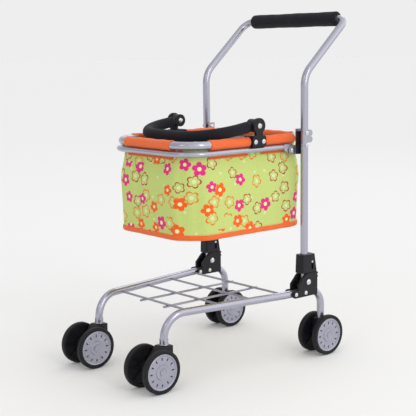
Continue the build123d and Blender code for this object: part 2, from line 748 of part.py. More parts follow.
# ---------------------------------------------------------------- carrying handle
for name, side in sides.items():
    with BuildPart() as handle_bracket:
        low_x = min(side * block_in, side * handle_plate_out)
        with BuildSketch(Plane.YZ.offset(low_x)):
            with Locations((handle_pivot_y, rim_z - handle_bracket_below)):
                Rectangle(
                    handle_bracket_length,
                    handle_bracket_above + handle_bracket_below,
                    align=(Align.CENTER, Align.MIN),
                )
        extrude(amount=handle_plate_out - block_in)
        fillet(handle_bracket.edges().filter_by(Axis.X).group_by(Axis.Z)[-1], handle_bracket_r)
        low_x = min(side * handle_plate_in, side * handle_plate_out)
        with BuildSketch(Plane.YZ.offset(low_x)):
            with Locations((handle_pivot_y, rim_z)):
                Rectangle(handle_neck_width, handle_pivot_rise, align=(Align.CENTER, Align.MIN))
            with Locations((handle_pivot_y, handle_pivot_z)):
                Circle(handle_lobe_r)
        extrude(amount=handle_plate_thickness)
        add(rim_bar, mode=Mode.SUBTRACT)
        for y in bolt_ys:
            bore_across(-handle_plate_out, handle_plate_out, y, rim_z, handle_bolt_d)
        bore_across(-handle_plate_out, handle_plate_out, handle_pivot_y, handle_pivot_z, handle_pivot_d)
    save(handle_bracket, f"handle_bracket_{name}")

with BuildPart() as bracket_bolts:
    for side in sides.values():
        for y in bolt_ys:
            rivet_across(side * block_in, side * handle_plate_out, y, rim_z, handle_bolt_d, *handle_bolt_head)
save(bracket_bolts, "bracket_bolts")

tilt = radians(handle_tilt)
reach_y = handle_pivot_y - handle_reach * cos(tilt)
reach_z = handle_pivot_z - handle_reach * sin(tilt)


def handle_point(side, along):
    """A point of a handle arm, a distance along it from the pivot."""
    y = handle_pivot_y - along * cos(tilt)
    z = handle_pivot_z - along * sin(tilt)
    return (side * handle_arm_x, y, z)


def handle_route_from(start):
    """Corners of the carrying handle, with both ends a distance from the pivot."""
    return [
        handle_point(1, start),
        (handle_arm_x, reach_y, reach_z),
        (-handle_arm_x, reach_y, reach_z),
        handle_point(-1, start),
    ]


handle_corners = [handle_corner_r, handle_corner_r]
knuckle_bore = handle_knuckle_d / 2 - handle_knuckle_seat      # where the tube starts
handle_core = bent_tube(handle_route_from(knuckle_bore), handle_corners, handle_tube_d, handle_tube_wall)
handle_bar = bent_tube(handle_route_from(knuckle_bore), handle_corners, handle_tube_d)
handle_foam = bent_tube(
    handle_route_from(handle_foam_start), handle_corners, handle_foam_d, (handle_foam_d - handle_tube_d) / 2
)
with BuildPart() as basket_handle_tube:
    add(handle_core)
save(basket_handle_tube, "basket_handle_tube")

with BuildPart() as basket_handle_foam:
    add(handle_foam)
save(basket_handle_foam, "basket_handle_foam")

neck_d = handle_tube_d + 2 * handle_knuckle_wall
knuckle_in = handle_arm_x - neck_d / 2 - handle_knuckle_face
knuckle_out = handle_plate_in - body_gap
with BuildPart() as handle_knuckles:
    for side in sides.values():
        low_x, high_x = sorted((side * knuckle_in, side * knuckle_out))
        bore_across(low_x, high_x, handle_pivot_y, handle_pivot_z, handle_knuckle_d, mode=Mode.ADD)
        with BuildSketch(Plane(origin=handle_point(side, 0.0), z_dir=(0, -cos(tilt), -sin(tilt)))):
            Circle(neck_d / 2)
        extrude(amount=handle_foam_start)
    add(handle_bar, mode=Mode.SUBTRACT)
    pivot_hole_d = handle_pivot_d + 2 * running_gap
    bore_across(-handle_plate_out, handle_plate_out, handle_pivot_y, handle_pivot_z, pivot_hole_d)
save(handle_knuckles, "handle_knuckles")

with BuildPart() as handle_pivot_bolts:
    for side in sides.values():
        rivet_across(
            side * knuckle_in,
            side * handle_plate_out,
            handle_pivot_y,
            handle_pivot_z,
            handle_pivot_d,
            *handle_pivot_head,
        )
save(handle_pivot_bolts, "handle_pivot_bolts")


# ---------------------------------------------------------------- casters
for name, side in sides.items():
    centre_x = side * front_leg_x
    with BuildPart() as caster_housing:
        with BuildSketch(Plane.YZ.offset(centre_x - caster_body_width / 2)):
            with BuildLine():
                CenterArc((front_axle_y, wheel_r), axle_boss_d / 2, 0, 360)
                Polyline(
                    (swivel_y - swivel_boss_d / 2, caster_top),
                    (swivel_y + swivel_boss_d / 2, caster_top),
                    (swivel_y + swivel_boss_d / 2, caster_top - swivel_pin_depth - caster_pin_floor),
                    close=True,
                )
            make_hull()
        extrude(amount=caster_body_width)
        fillet(caster_housing.faces().sort_by(Axis.X)[0].edges(), moulded_edge_r)
        fillet(caster_housing.faces().sort_by(Axis.X)[-1].edges(), moulded_edge_r)
        with BuildSketch(Plane.XY.offset(caster_top - swivel_pin_depth)):
            with Locations((centre_x, swivel_y)):
                Circle(swivel_pin_d / 2 + running_gap)
        extrude(amount=swivel_pin_depth, mode=Mode.SUBTRACT)
        bore_across(centre_x - caster_body_width, centre_x + caster_body_width, front_axle_y, wheel_r, axle_d)
    save(caster_housing, f"caster_housing_{name}")

# ---------------------------------------------------------------- wheels and axles
stations = {
    "front": (front_axle_y, front_leg_x, front_pair_width, caster_body_width),
    "rear": (rear_axle_y, rear_leg_x, rear_pair_width, axle_block_width),
}


def wheel_body(inner_x, axle_y, outward, hub_reach):
    """A moulded wheel with its tyre, web, ribs and hub. Profiles are radius, height."""
    axle = Axis((inner_x, axle_y, wheel_r), (1, 0, 0))
    section = Plane(origin=axle.position, x_dir=(0, 0, 1), z_dir=(0, outward, 0))
    bore_r = axle_d / 2 + running_gap
    bed_r = tyre_bed_d / 2
    with BuildPart() as wheel:
        with BuildSketch(section):
            with BuildLine():
                Polyline(
                    (bore_r, -hub_reach),
                    (hub_d / 2, -hub_reach),
                    (hub_d / 2, web_inner),
                    (bed_r, web_inner),
                    (bed_r, 0),
                    (wheel_r - tyre_shoulder, 0),
                )
                RadiusArc((wheel_r - tyre_shoulder, 0), (wheel_r, tyre_shoulder), -tyre_shoulder)
                Line((wheel_r, tyre_shoulder), (wheel_r, tyre_width - tyre_shoulder))
                RadiusArc(
                    (wheel_r, tyre_width - tyre_shoulder),
                    (wheel_r - tyre_shoulder, tyre_width),
                    -tyre_shoulder,
                )
                Polyline(
                    (wheel_r - tyre_shoulder, tyre_width),
                    (bed_r, tyre_width),
                    (bed_r, web_outer),
                    (bore_r, web_outer),
                    (bore_r, -hub_reach),
                )
            make_face()
        revolve(axis=axle)
        rib_from = hub_d / 2 - rib_bury
        rib_length = bed_r + rib_bury - rib_from
        rib_x = inner_x + outward * rib_foot_height
        rib_foot = Plane(origin=(rib_x, axle_y, wheel_r), x_dir=(0, 1, 0), z_dir=(outward, 0, 0))
        with BuildSketch(rib_foot):
            with PolarLocations(rib_from + rib_length / 2, rib_count):
                Rectangle(rib_length, rib_width)
        extrude(amount=web_inner - rib_foot_height + rib_sink)
    return wheel


def wheel_disc(inner_x, axle_y, outward):
    """The disc that closes the wheel's outer side. Profile is radius, height."""
    axle = Axis((inner_x, axle_y, wheel_r), (1, 0, 0))
    section = Plane(origin=axle.position, x_dir=(0, 0, 1), z_dir=(0, outward, 0))
    disc_r = tyre_bed_d / 2 - disc_gap
    with BuildPart() as disc:
        with BuildSketch(section):
            with BuildLine():
                Polyline(
                    (0, web_outer),
                    (disc_r, web_outer),
                    *[(disc_r - inward, disc_rim_height + up) for inward, up in disc_rim_profile],
                    (disc_r - disc_rim_foot, disc_face_height),
                    (dome_radii[0], disc_face_height),
                    (dome_radii[1], dome_height),
                    (dome_radii[2], dome_height),
                    (dome_radii[3], dome_height - dome_dish),
                    (boss_radii[0], dome_height - dome_dish),
                    (boss_radii[1], boss_height),
                    (0, boss_height),
                    close=True,
                )
            make_face()
        revolve(axis=axle)
        slot_foot = Plane(
            origin=(inner_x + outward * web_outer, axle_y, wheel_r), x_dir=(0, 1, 0), z_dir=(outward, 0, 0)
        )
        with BuildSketch(slot_foot):
            with PolarLocations(slot_ring_r, slot_count):
                SlotOverall(slot_length, slot_width)
            for turn in (90, 210, 330):
                SlotArc(CenterArc((0, 0), window_ring_r, turn - window_arc / 2, window_arc), slot_width)
        extrude(amount=tyre_width, mode=Mode.SUBTRACT)
    return disc


for end, (axle_y, leg_x, pair_width, body_width) in stations.items():
    for name, side in sides.items():
        half_gap = pair_width / 2 - tyre_width
        axle_half = half_gap + web_outer - body_gap
        with BuildPart() as axle:
            bore_across(
                side * leg_x - axle_half, side * leg_x + axle_half, axle_y, wheel_r, axle_d, mode=Mode.ADD
            )
        save(axle, f"{end}_axle_{name}")
        for place, outward in (("outer", side), ("inner", -side)):
            inner_x = side * leg_x + outward * half_gap
            hub_reach = half_gap - body_width / 2 - body_gap
            save(wheel_body(inner_x, axle_y, outward, hub_reach), f"wheel_{end}_{name}_{place}")
            save(wheel_disc(inner_x, axle_y, outward), f"disc_{end}_{name}_{place}")
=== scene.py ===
import math

import bmesh
import bpy
from mathutils import Matrix, Vector


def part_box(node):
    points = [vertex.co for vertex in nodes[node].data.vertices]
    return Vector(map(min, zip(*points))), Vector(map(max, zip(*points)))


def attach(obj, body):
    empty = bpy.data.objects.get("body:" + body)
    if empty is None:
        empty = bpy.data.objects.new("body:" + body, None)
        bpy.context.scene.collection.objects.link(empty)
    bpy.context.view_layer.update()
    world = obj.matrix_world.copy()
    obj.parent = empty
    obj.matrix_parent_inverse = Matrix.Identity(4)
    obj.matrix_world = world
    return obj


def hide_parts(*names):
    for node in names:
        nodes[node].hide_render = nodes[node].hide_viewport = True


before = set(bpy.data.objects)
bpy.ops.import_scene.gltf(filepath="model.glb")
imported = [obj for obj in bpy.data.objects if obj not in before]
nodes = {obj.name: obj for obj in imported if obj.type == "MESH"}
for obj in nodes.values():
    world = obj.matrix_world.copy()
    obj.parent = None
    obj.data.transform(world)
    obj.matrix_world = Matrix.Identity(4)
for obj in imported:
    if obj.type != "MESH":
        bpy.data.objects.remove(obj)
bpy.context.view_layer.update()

sides = {"left": 1, "right": -1}


# ---------------------------------------------------------------- studio
# A pale matt floor, spun wide and flat, meets a sky of the same tone far away. The sky lights
# the piece evenly, a little more from the camera's right, and three soft lamps add highlights.
def as_object(name, bm, *materials, smooth=True):
    """A finished bmesh as an object of the scene, with its materials in its slots."""
    mesh = bpy.data.meshes.new(name)
    bm.to_mesh(mesh)
    bm.free()
    for material in materials:
        mesh.materials.append(material)
    mesh.polygons.foreach_set("use_smooth", [smooth] * len(mesh.polygons))
    piece = bpy.data.objects.new(name, mesh)
    bpy.context.scene.collection.objects.link(piece)
    return piece


def surface(name, **finish):
    """A new material with a Principled shader whose named sockets are set."""
    material = bpy.data.materials.new(name)
    material.use_nodes = True
    shader = material.node_tree.nodes["Principled BSDF"]
    for socket, value in finish.items():
        shader.inputs[socket.replace("_", " ")].default_value = value
    return material, material.node_tree, shader


def reckon(tree, operation, *values):
    """A Math node of the tree, fed with numbers or sockets. Returns its output."""
    node = tree.nodes.new("ShaderNodeMath")
    node.operation = operation
    for socket, value in zip(node.inputs, values):
        if isinstance(value, bpy.types.NodeSocket):
            tree.links.new(value, socket)
        else:
            socket.default_value = value
    return node.outputs[0]


bm = bmesh.new()
profile = [bm.verts.new((reach, 0, 0)) for reach in (0.0, 1.0, 3.0, 9.0, 25.0, 60.0)]
rungs = [bm.edges.new(pair) for pair in zip(profile, profile[1:])]
bmesh.ops.spin(
    bm, geom=profile + rungs, cent=(0, 0, 0), axis=(0, 0, 1), angle=2 * math.pi, steps=96, use_merge=True
)
bmesh.ops.remove_doubles(bm, verts=bm.verts, dist=1e-5)
bmesh.ops.recalc_face_normals(bm, faces=bm.faces)
if sum(face.normal.z for face in bm.faces) < 0:
    bmesh.ops.reverse_faces(bm, faces=bm.faces)
floor_paint, _, _ = surface(
    "floor_paint", Base_Color=(0.90, 0.90, 0.90, 1), Roughness=1.0, Specular_IOR_Level=0.0
)
as_object("studio_floor", bm, floor_paint)

camera_azimuth = math.radians(49.58)
level = Vector((math.cos(camera_azimuth), math.sin(camera_azimuth), 0))
sky = bpy.data.worlds.new("even_sky")
sky.use_nodes = True
backdrop_level, sky_middle, sky_swing = 0.855, 1.03, 0.46
glow = sky.node_tree.nodes.new("ShaderNodeVectorMath")
glow.operation = "DOT_PRODUCT"
glow.inputs[1].default_value = (*(level * 0.9)[:2], -0.25)
towards = sky.node_tree.nodes.new("ShaderNodeTexCoord").outputs["Generated"]
sky.node_tree.links.new(towards, glow.inputs[0])
lit = reckon(sky.node_tree, "MULTIPLY_ADD", glow.outputs["Value"], sky_swing, sky_middle)
seen = sky.node_tree.nodes.new("ShaderNodeLightPath").outputs["Is Camera Ray"]
glow_share = reckon(sky.node_tree, "SUBTRACT", 1.0, seen)
sky_level = reckon(
    sky.node_tree, "ADD",
    reckon(sky.node_tree, "MULTIPLY", lit, glow_share),
    reckon(sky.node_tree, "MULTIPLY", seen, backdrop_level),
)
sky.node_tree.nodes["Background"].inputs["Color"].default_value = (1.0, 1.0, 1.0, 1)
sky.node_tree.links.new(sky_level, sky.node_tree.nodes["Background"].inputs["Strength"])
bpy.context.scene.world = sky
lamps = {                                    # place, width, height, watts
    "strip_lamp": ((2.6, -0.2, 1.5), 0.30, 1.8, 9),
    "front_lamp": ((0.4, -2.8, 1.9), 0.7, 0.7, 3),
    "rear_lamp": ((-1.2, 2.2, 2.4), 0.7, 0.7, 3),
}
for name, (place, width, height, watts) in lamps.items():
    light = bpy.data.lights.new(name, "AREA")
    light.shape, light.size, light.size_y, light.energy = "RECTANGLE", width, height, watts
    lamp = bpy.data.objects.new(name, light)
    lamp.location = place
    lamp.rotation_mode = "QUATERNION"
    lamp.rotation_quaternion = (Vector((0, 0, 0.3)) - Vector(place)).to_track_quat("-Z", "Y")
    bpy.context.scene.collection.objects.link(lamp)

# The camera stands in front and to the left, a little above the basket, with a long lens.
camera_elevation = math.radians(8.81)
camera_roll = math.radians(-0.72)
back = Vector((
    math.sin(camera_azimuth) * math.cos(camera_elevation),
    -math.cos(camera_azimuth) * math.cos(camera_elevation),
    math.sin(camera_elevation),
))
upward = back.cross(level)
right = level * math.cos(camera_roll) + upward * math.sin(camera_roll)
upward = upward * math.cos(camera_roll) - level * math.sin(camera_roll)
lens = bpy.data.cameras.new("camera")
lens.lens, lens.sensor_width, lens.clip_end = 88.64, 36.0, 150.0
camera = bpy.data.objects.new("camera", lens)
camera.matrix_world = Matrix.Translation((1.3477, -1.1438, 0.5369)) @ Matrix(
    (right, upward, back)
).transposed().to_4x4()
bpy.context.scene.collection.objects.link(camera)
bpy.context.scene.camera = camera
bpy.context.scene.view_settings.view_transform = "Standard"


# ---------------------------------------------------------------- base frame
# Two bent steel tubes with a wire shelf welded between them, all sprayed in one satin
# silver lacquer. The CAD shapes stay, and take the lacquer and its fine grain.
def tinted(tree, share, first, second):
    """A colour from first to second by share, each a socket or a colour."""
    node = tree.nodes.new("ShaderNodeMix")
    node.data_type = "RGBA"
    for socket, value in ((node.inputs[0], share), (node.inputs[6], first), (node.inputs[7], second)):
        if isinstance(value, bpy.types.NodeSocket):
            tree.links.new(value, socket)
        else:
            socket.default_value = value if socket == node.inputs[0] else (*value, 1)
    return node.outputs[2]


def speckle(tree, place, scale, detail=2.0):
    """A noise pattern over the place, as a number from 0 to 1."""
    node = tree.nodes.new("ShaderNodeTexNoise")
    tree.links.new(place, node.inputs["Vector"])
    if isinstance(scale, bpy.types.NodeSocket):
        tree.links.new(scale, node.inputs["Scale"])
    else:
        node.inputs["Scale"].default_value = scale
    node.inputs["Detail"].default_value = detail
    return node.outputs["Fac"]


def effect_group(name, inputs, outputs):
    """An empty node group with named sockets, for an effect that several finishes share."""
    group = bpy.data.node_groups.new(name, "ShaderNodeTree")
    for label, (kind, value) in inputs.items():
        socket = group.interface.new_socket(name=label, in_out="INPUT", socket_type=kind)
        if value is not None:
            socket.default_value = value
    for label, kind in outputs.items():
        group.interface.new_socket(name=label, in_out="OUTPUT", socket_type=kind)
    return group, group.nodes.new("NodeGroupInput").outputs, group.nodes.new("NodeGroupOutput").inputs


skin_group, given, result = effect_group(
    "sprayed_or_moulded_skin",
    {
        "Place": ("NodeSocketVector", None),
        "Tint": ("NodeSocketColor", (0.5, 0.5, 0.5, 1)),
        "Shade": ("NodeSocketColor", (0.4, 0.4, 0.4, 1)),
        "Cloud Scale": ("NodeSocketFloat", 30.0),
        "Grain Scale": ("NodeSocketFloat", 1500.0),
        "Smoothest": ("NodeSocketFloat", 0.3),
        "Roughest": ("NodeSocketFloat", 0.45),
    },
    {"Color": "NodeSocketColor", "Roughness": "NodeSocketFloat", "Height": "NodeSocketFloat"},
)
clouds = speckle(skin_group, given["Place"], given["Cloud Scale"], 3.0)
grain = speckle(skin_group, given["Place"], given["Grain Scale"], 1.0)
stain = reckon(skin_group, "MULTIPLY_ADD", clouds, 0.7, reckon(skin_group, "MULTIPLY", grain, 0.3))
skin_group.links.new(tinted(skin_group, stain, given["Tint"], given["Shade"]), result["Color"])
spread = reckon(skin_group, "SUBTRACT", given["Roughest"], given["Smoothest"])
skin_group.links.new(
    reckon(skin_group, "MULTIPLY_ADD", stain, spread, given["Smoothest"]), result["Roughness"]
)
skin_group.links.new(grain, result["Height"])


def skinned(name, tint, shade, cloud, grain, smoothest, roughest, relief, **finish):
    """A hard finish from the shared skin: two tints, cloud and grain sizes, roughness and relief."""
    material, tree, shader = surface(name, **finish)
    skin = tree.nodes.new("ShaderNodeGroup")
    skin.node_tree = skin_group
    values = (*(tuple(c) + (1,) for c in (tint, shade)), 1 / cloud, 1 / grain, smoothest, roughest)
    for socket, value in zip(list(skin.inputs)[1:], values):
        socket.default_value = value
    place = tree.nodes.new("ShaderNodeTexCoord").outputs["Object"]
    tree.links.new(place, skin.inputs["Place"])
    tree.links.new(skin.outputs["Color"], shader.inputs["Base Color"])
    tree.links.new(skin.outputs["Roughness"], shader.inputs["Roughness"])
    bump = tree.nodes.new("ShaderNodeBump")
    bump.inputs["Strength"].default_value = 0.6
    bump.inputs["Distance"].default_value = relief
    tree.links.new(skin.outputs["Height"], bump.inputs["Height"])
    tree.links.new(bump.outputs["Normal"], shader.inputs["Normal"])
    return material


def refinish(material, *names):
    """CAD nodes keep their shapes and take this finish."""
    for name in names:
        mesh = nodes[name].data
        mesh.materials.clear()
        mesh.materials.append(material)


tube_lacquer = skinned(
    "tube_lacquer", (0.47, 0.465, 0.545), (0.41, 0.405, 0.485), 0.05, 0.0007, 0.20, 0.28, 0.00002,
    Metallic=0.9,
)
wire_lacquer = skinned(
    "wire_lacquer", (0.42, 0.415, 0.48), (0.36, 0.355, 0.42), 0.03, 0.0006, 0.26, 0.36, 0.00002,
    Metallic=0.85,
)
refinish(tube_lacquer, "side_tube_left", "side_tube_right", "push_handle_tube", "support_hoop", "basket_rim")
refinish(tube_lacquer, "basket_handle_tube")
refinish(wire_lacquer, "shelf_grid")

# ---------------------------------------------------------------- ferrules
# A turned steel ferrule closes the foot of each front leg, over the swivel pin. It is pressed
# on and sprayed with the tubes, and its small flange is what the caster turns under.
ferrule_low, ferrule_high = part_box("caster_collars")
flange_r, barrel_r, pin_r, leg_r, collar_r = 0.0084, 0.0073, 0.0042, 0.0064, 0.0085
foot, top = ferrule_low.z, ferrule_high.z
turned = [                                   # radius and height, round the section
    (pin_r, foot), (flange_r - 0.0004, foot), (flange_r, foot + 0.0004), (flange_r, foot + 0.0014),
    (flange_r - 0.0004, foot + 0.0018), (barrel_r, foot + 0.0020), (barrel_r, top - 0.0004),
    (barrel_r - 0.0003, top), (leg_r, top), (leg_r, foot + 0.0020), (pin_r, foot + 0.0020),
]
bm = bmesh.new()
for side in sides.values():
    centre = Vector((side * (ferrule_high.x - collar_r), (ferrule_low.y + ferrule_high.y) / 2, 0))
    section = [bm.verts.new(centre + Vector((r, 0, z))) for r, z in turned]
    outline = [bm.edges.new(pair) for pair in zip(section, section[1:] + section[:1])]
    bmesh.ops.spin(
        bm, geom=section + outline, cent=centre, axis=(0, 0, 1), angle=2 * math.pi, steps=48, use_merge=True
    )
bmesh.ops.remove_doubles(bm, verts=bm.verts, dist=1e-6)
bmesh.ops.recalc_face_normals(bm, faces=bm.faces)
ferrules = as_object("leg_ferrules", bm, tube_lacquer, smooth=False)
ferrules.modifiers.new("rounding", "BEVEL").width = 0.00015
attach(ferrules, "base")
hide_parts("caster_collars")

# ---------------------------------------------------------------- moulded black parts
# Brackets, sleeves, axle blocks and caster bodies are injection-moulded in black plastic
# with a fine spark-eroded grain.
black_mould = skinned(
    "black_mould", (0.006, 0.006, 0.0085), (0.011, 0.011, 0.0145), 0.02, 0.0005, 0.34, 0.50, 0.00005,
    Specular_IOR_Level=0.28,
)
moulded = ["hoop_spacers", "latch_blocks", "handle_knuckles"]
for side in sides:
    moulded += [f"fold_bracket_{side}", f"rear_axle_block_{side}", f"lock_sleeve_{side}"]
    moulded += [f"handle_bracket_{side}", f"caster_housing_{side}"]
refinish(black_mould, *moulded)

# ---------------------------------------------------------------- pressed plates and rivets
# The plates that carry the hoop and the clips behind the posts are pressed from zinc-plated
# sheet. Rivets, bolts and pins are chromed steel.
plate_zinc = skinned(
    "plate_zinc", (0.46, 0.46, 0.51), (0.36, 0.36, 0.41), 0.012, 0.0008, 0.30, 0.45, 0.00004, Metallic=0.85
)
bright_chrome = skinned(
    "bright_chrome", (0.74, 0.74, 0.76), (0.62, 0.62, 0.65), 0.006, 0.0006, 0.10, 0.22, 0.00002, Metallic=1.0
)
refinish(plate_zinc, "hoop_plates", "rear_clips")
bright = ["bracket_rivets", "fold_pivot_pins", "swivel_pins", "clamp_rivets", "hoop_pivot_rivets"]
bright += ["latch_pins", "bracket_bolts", "handle_pivot_bolts"]
bright += [f"{end}_axle_{side}" for end in ("front", "rear") for side in sides]
refinish(bright_chrome, *bright)

# ---------------------------------------------------------------- wheels
# Eight black moulded wheels with a soft tread, each with a silver pressed-in disc on the
# side that shows. The tread has a dull bloom, and the disc a satin metallic paint.
tyre_rubber = skinned(
    "tyre_rubber", (0.006, 0.006, 0.008), (0.013, 0.013, 0.016), 0.015, 0.0006, 0.46, 0.66, 0.00006,
    Specular_IOR_Level=0.25,
)
disc_paint = skinned(
    "disc_paint", (0.43, 0.43, 0.51), (0.34, 0.34, 0.42), 0.02, 0.0005, 0.26, 0.38, 0.00003, Metallic=0.65
)
for end in ("front", "rear"):
    for side in sides:
        for place in ("outer", "inner"):
            refinish(tyre_rubber, f"wheel_{end}_{side}_{place}")
            refinish(disc_paint, f"disc_{end}_{side}_{place}")


# ---------------------------------------------------------------- foam grips
# The push grip and the basket's handle wear sleeves of black closed-cell foam, slid on from
# the end. The skin is matt with fine pores, and it wrinkles a little inside each bend.
def foam_finish():
    """Matt black foam: pores from a fine cell pattern over a slow unevenness. The pits of the pores are
    painted darker, as painted shade, and the unevenness varies the tone at random.
    """
    material, tree, shader = surface("closed_cell_foam", Roughness=0.85, Specular_IOR_Level=0.16)
    shader.inputs["Sheen Weight"].default_value = 0.05
    shader.inputs["Sheen Roughness"].default_value = 0.6
    place = tree.nodes.new("ShaderNodeTexCoord").outputs["Object"]
    pores = tree.nodes.new("ShaderNodeTexVoronoi")
    pores.inputs["Scale"].default_value = 1100.0
    tree.links.new(place, pores.inputs["Vector"])
    uneven = speckle(tree, place, 90.0, 3.0)
    depth = reckon(tree, "MULTIPLY_ADD", uneven, 0.5, pores.outputs["Distance"])
    # The colour follows the same depth: painted shade darkens the pit of each pore, and the slow unevenness
    # is random tone.
    tree.links.new(
        tinted(tree, depth, (0.005, 0.005, 0.008), (0.013, 0.013, 0.018)), shader.inputs["Base Color"]
    )
    bump = tree.nodes.new("ShaderNodeBump")
    bump.inputs["Strength"].default_value = 0.5
    bump.inputs["Distance"].default_value = 0.0002
    tree.links.new(depth, bump.inputs["Height"])
    tree.links.new(bump.outputs["Normal"], shader.inputs["Normal"])
    return material


foam = foam_finish()


def drawn_on(bm, ring, step, count):
    """Extrudes a ring of edges by step, count times. Returns the last ring."""
    for _ in range(count):
        grown = bmesh.ops.extrude_edge_only(bm, edges=ring)["geom"]
        bmesh.ops.translate(bm, vec=step, verts=[g for g in grown if isinstance(g, bmesh.types.BMVert)])
        ring = [g for g in grown if isinstance(g, bmesh.types.BMEdge)]
        ring = [edge for edge in ring if len(edge.link_faces) == 1]
    return ring


def swung(bm, ring, centre, axis, angle, count):
    """Extrudes a ring of edges round an axis. Returns the last ring."""
    for _ in range(count):
        grown = bmesh.ops.extrude_edge_only(bm, edges=ring)["geom"]
        moved = [g for g in grown if isinstance(g, bmesh.types.BMVert)]
        turn = Matrix.Rotation(angle / count, 3, axis)
        bmesh.ops.rotate(bm, cent=centre, matrix=turn, verts=moved)
        ring = [g for g in grown if isinstance(g, bmesh.types.BMEdge) and len(g.link_faces) == 1]
    return ring


def foam_end(bm, ring, middle, inward, bore_r, foam_r):
    """Rounds the end of a foam sleeve over and closes it down to its tube."""
    for share, sink in ((0.97, 0.0006), (0.90, 0.0017), (0.80, 0.0024), (bore_r / foam_r, 0.0024)):
        grown = bmesh.ops.extrude_edge_only(bm, edges=ring)["geom"]
        moved = [g for g in grown if isinstance(g, bmesh.types.BMVert)]
        for vert in moved:
            flat = vert.co - middle
            flat -= inward * flat.dot(inward)
            vert.co = middle + flat.normalized() * foam_r * share - inward * sink
        ring = [g for g in grown if isinstance(g, bmesh.types.BMEdge) and len(g.link_faces) == 1]
    return ring


grip_low, grip_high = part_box("push_grip")
grip_middle = (grip_low + grip_high) / 2
grip_r = (grip_high.z - grip_low.z) / 2
grip_half = grip_high.x - 0.0024
tube_r = 0.0065
grip_left_end = Vector((-grip_half, grip_middle.y, grip_middle.z))
grip_right_end = Vector((grip_half, grip_middle.y, grip_middle.z))
bm = bmesh.new()
bmesh.ops.create_circle(
    bm, segments=48, radius=grip_r,
    matrix=Matrix.Translation(grip_left_end) @ Matrix.Rotation(math.pi / 2, 4, "Y"),
)
first_ring = list(bm.edges)
last_ring = drawn_on(bm, first_ring, Vector((2 * grip_half / 60, 0, 0)), 60)
foam_end(bm, last_ring, grip_right_end, Vector((-1, 0, 0)), tube_r, grip_r)
foam_end(bm, first_ring, grip_left_end, Vector((1, 0, 0)), tube_r, grip_r)
for vert in bm.verts:
    lean = 0.00022 * math.sin(70 * vert.co.x + 1.0) + 0.00012 * math.sin(190 * vert.co.x)
    flat = Vector((0, vert.co.y - grip_middle.y, vert.co.z - grip_middle.z))
    if flat.length > 0.009:
        vert.co += flat.normalized() * (lean - 0.00034)
bmesh.ops.recalc_face_normals(bm, faces=bm.faces)
push_foam = as_object("push_grip_foam", bm, foam)
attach(push_foam, "push_handle")
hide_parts("push_grip")

# The basket's handle is a flat U. Its foam is drawn in the U's own plane, then tilted down
# about the pivots until it rests on the rim's sleeves.
pivot_low, pivot_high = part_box("handle_pivot_bolts")
handle_pivot = Vector((0, (pivot_low.y + pivot_high.y) / 2, (pivot_low.z + pivot_high.z) / 2))
foam_low, foam_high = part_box("basket_handle_foam")
foam_r = 0.0095
arm_x = foam_high.x - foam_r
handle_tilt = math.radians(8.5)
foam_start, handle_corner = 0.015, 0.069
handle_reach = (handle_pivot.y - foam_low.y - foam_r) / math.cos(handle_tilt)
bm = bmesh.new()
bmesh.ops.create_circle(
    bm, segments=36, radius=foam_r,
    matrix=Matrix.Translation((arm_x, -foam_start, 0)) @ Matrix.Rotation(math.pi / 2, 4, "X"),
)
first_ring = list(bm.edges)
run = handle_reach - handle_corner - foam_start
ring = drawn_on(bm, first_ring, Vector((0, -run / 8, 0)), 8)
corner = Vector((arm_x - handle_corner, -(foam_start + run), 0))
ring = swung(bm, ring, corner, "Z", -math.pi / 2, 24)
ring = drawn_on(bm, ring, Vector((-2 * corner.x / 14, 0, 0)), 14)
ring = swung(bm, ring, Vector((-corner.x, corner.y, 0)), "Z", -math.pi / 2, 24)
ring = drawn_on(bm, ring, Vector((0, run / 8, 0)), 8)
for side, end_ring in ((1, first_ring), (-1, ring)):
    foam_end(bm, end_ring, Vector((side * arm_x, -foam_start, 0)), Vector((0, -1, 0)), 0.0052, foam_r)
for vert in bm.verts:
    for side in (1, -1):
        centre = Vector((side * corner.x, corner.y, 0))
        arm = vert.co - centre
        if arm.y < 0 and side * arm.x > 0:
            inner = max(0.0, (handle_corner - math.hypot(arm.x, arm.y)) / foam_r)
            folds = math.sin(math.atan2(-arm.y, side * arm.x) * 34)
            vert.co += Vector((arm.x, arm.y, 0)).normalized() * 0.0003 * inner * folds
bmesh.ops.rotate(bm, cent=(0, 0, 0), matrix=Matrix.Rotation(handle_tilt, 3, "X"), verts=bm.verts)
bmesh.ops.translate(bm, vec=handle_pivot, verts=bm.verts)
bmesh.ops.recalc_face_normals(bm, faces=bm.faces)
handle_foam = as_object("carry_handle_foam", bm, foam)
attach(handle_foam, "carry_handle")
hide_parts("basket_handle_foam")


# ---------------------------------------------------------------- bag
# The bag is sewn from printed cotton, one long strip for the walls and a panel under the
# board. It hangs from the rim inside the hoop and swells out below it, with soft creases.
weave_group, given, result = effect_group(
    "plain_weave",
    {"Cut": ("NodeSocketVector", None), "Threads": ("NodeSocketFloat", 1600.0)},
    {"Height": "NodeSocketFloat", "Slub": "NodeSocketFloat"},
)
scaled = weave_group.nodes.new("ShaderNodeVectorMath")
scaled.operation = "SCALE"
weave_group.links.new(given["Cut"], scaled.inputs[0])
weave_group.links.new(given["Threads"], scaled.inputs["Scale"])
axes = weave_group.nodes.new("ShaderNodeSeparateXYZ")
weave_group.links.new(scaled.outputs[0], axes.inputs[0])
warp = reckon(weave_group, "SINE", reckon(weave_group, "MULTIPLY", axes.outputs[0], math.pi))
weft = reckon(weave_group, "SINE", reckon(weave_group, "MULTIPLY", axes.outputs[1], math.pi))
over = reckon(weave_group, "GREATER_THAN", reckon(weave_group, "MULTIPLY", warp, weft), 0.0)
warp_part = reckon(weave_group, "MULTIPLY", reckon(weave_group, "ABSOLUTE", warp), over)
under = reckon(weave_group, "SUBTRACT", 1.0, over)
weft_part = reckon(weave_group, "MULTIPLY", reckon(weave_group, "ABSOLUTE", weft), under)
weave_group.links.new(reckon(weave_group, "ADD", warp_part, weft_part), result["Height"])
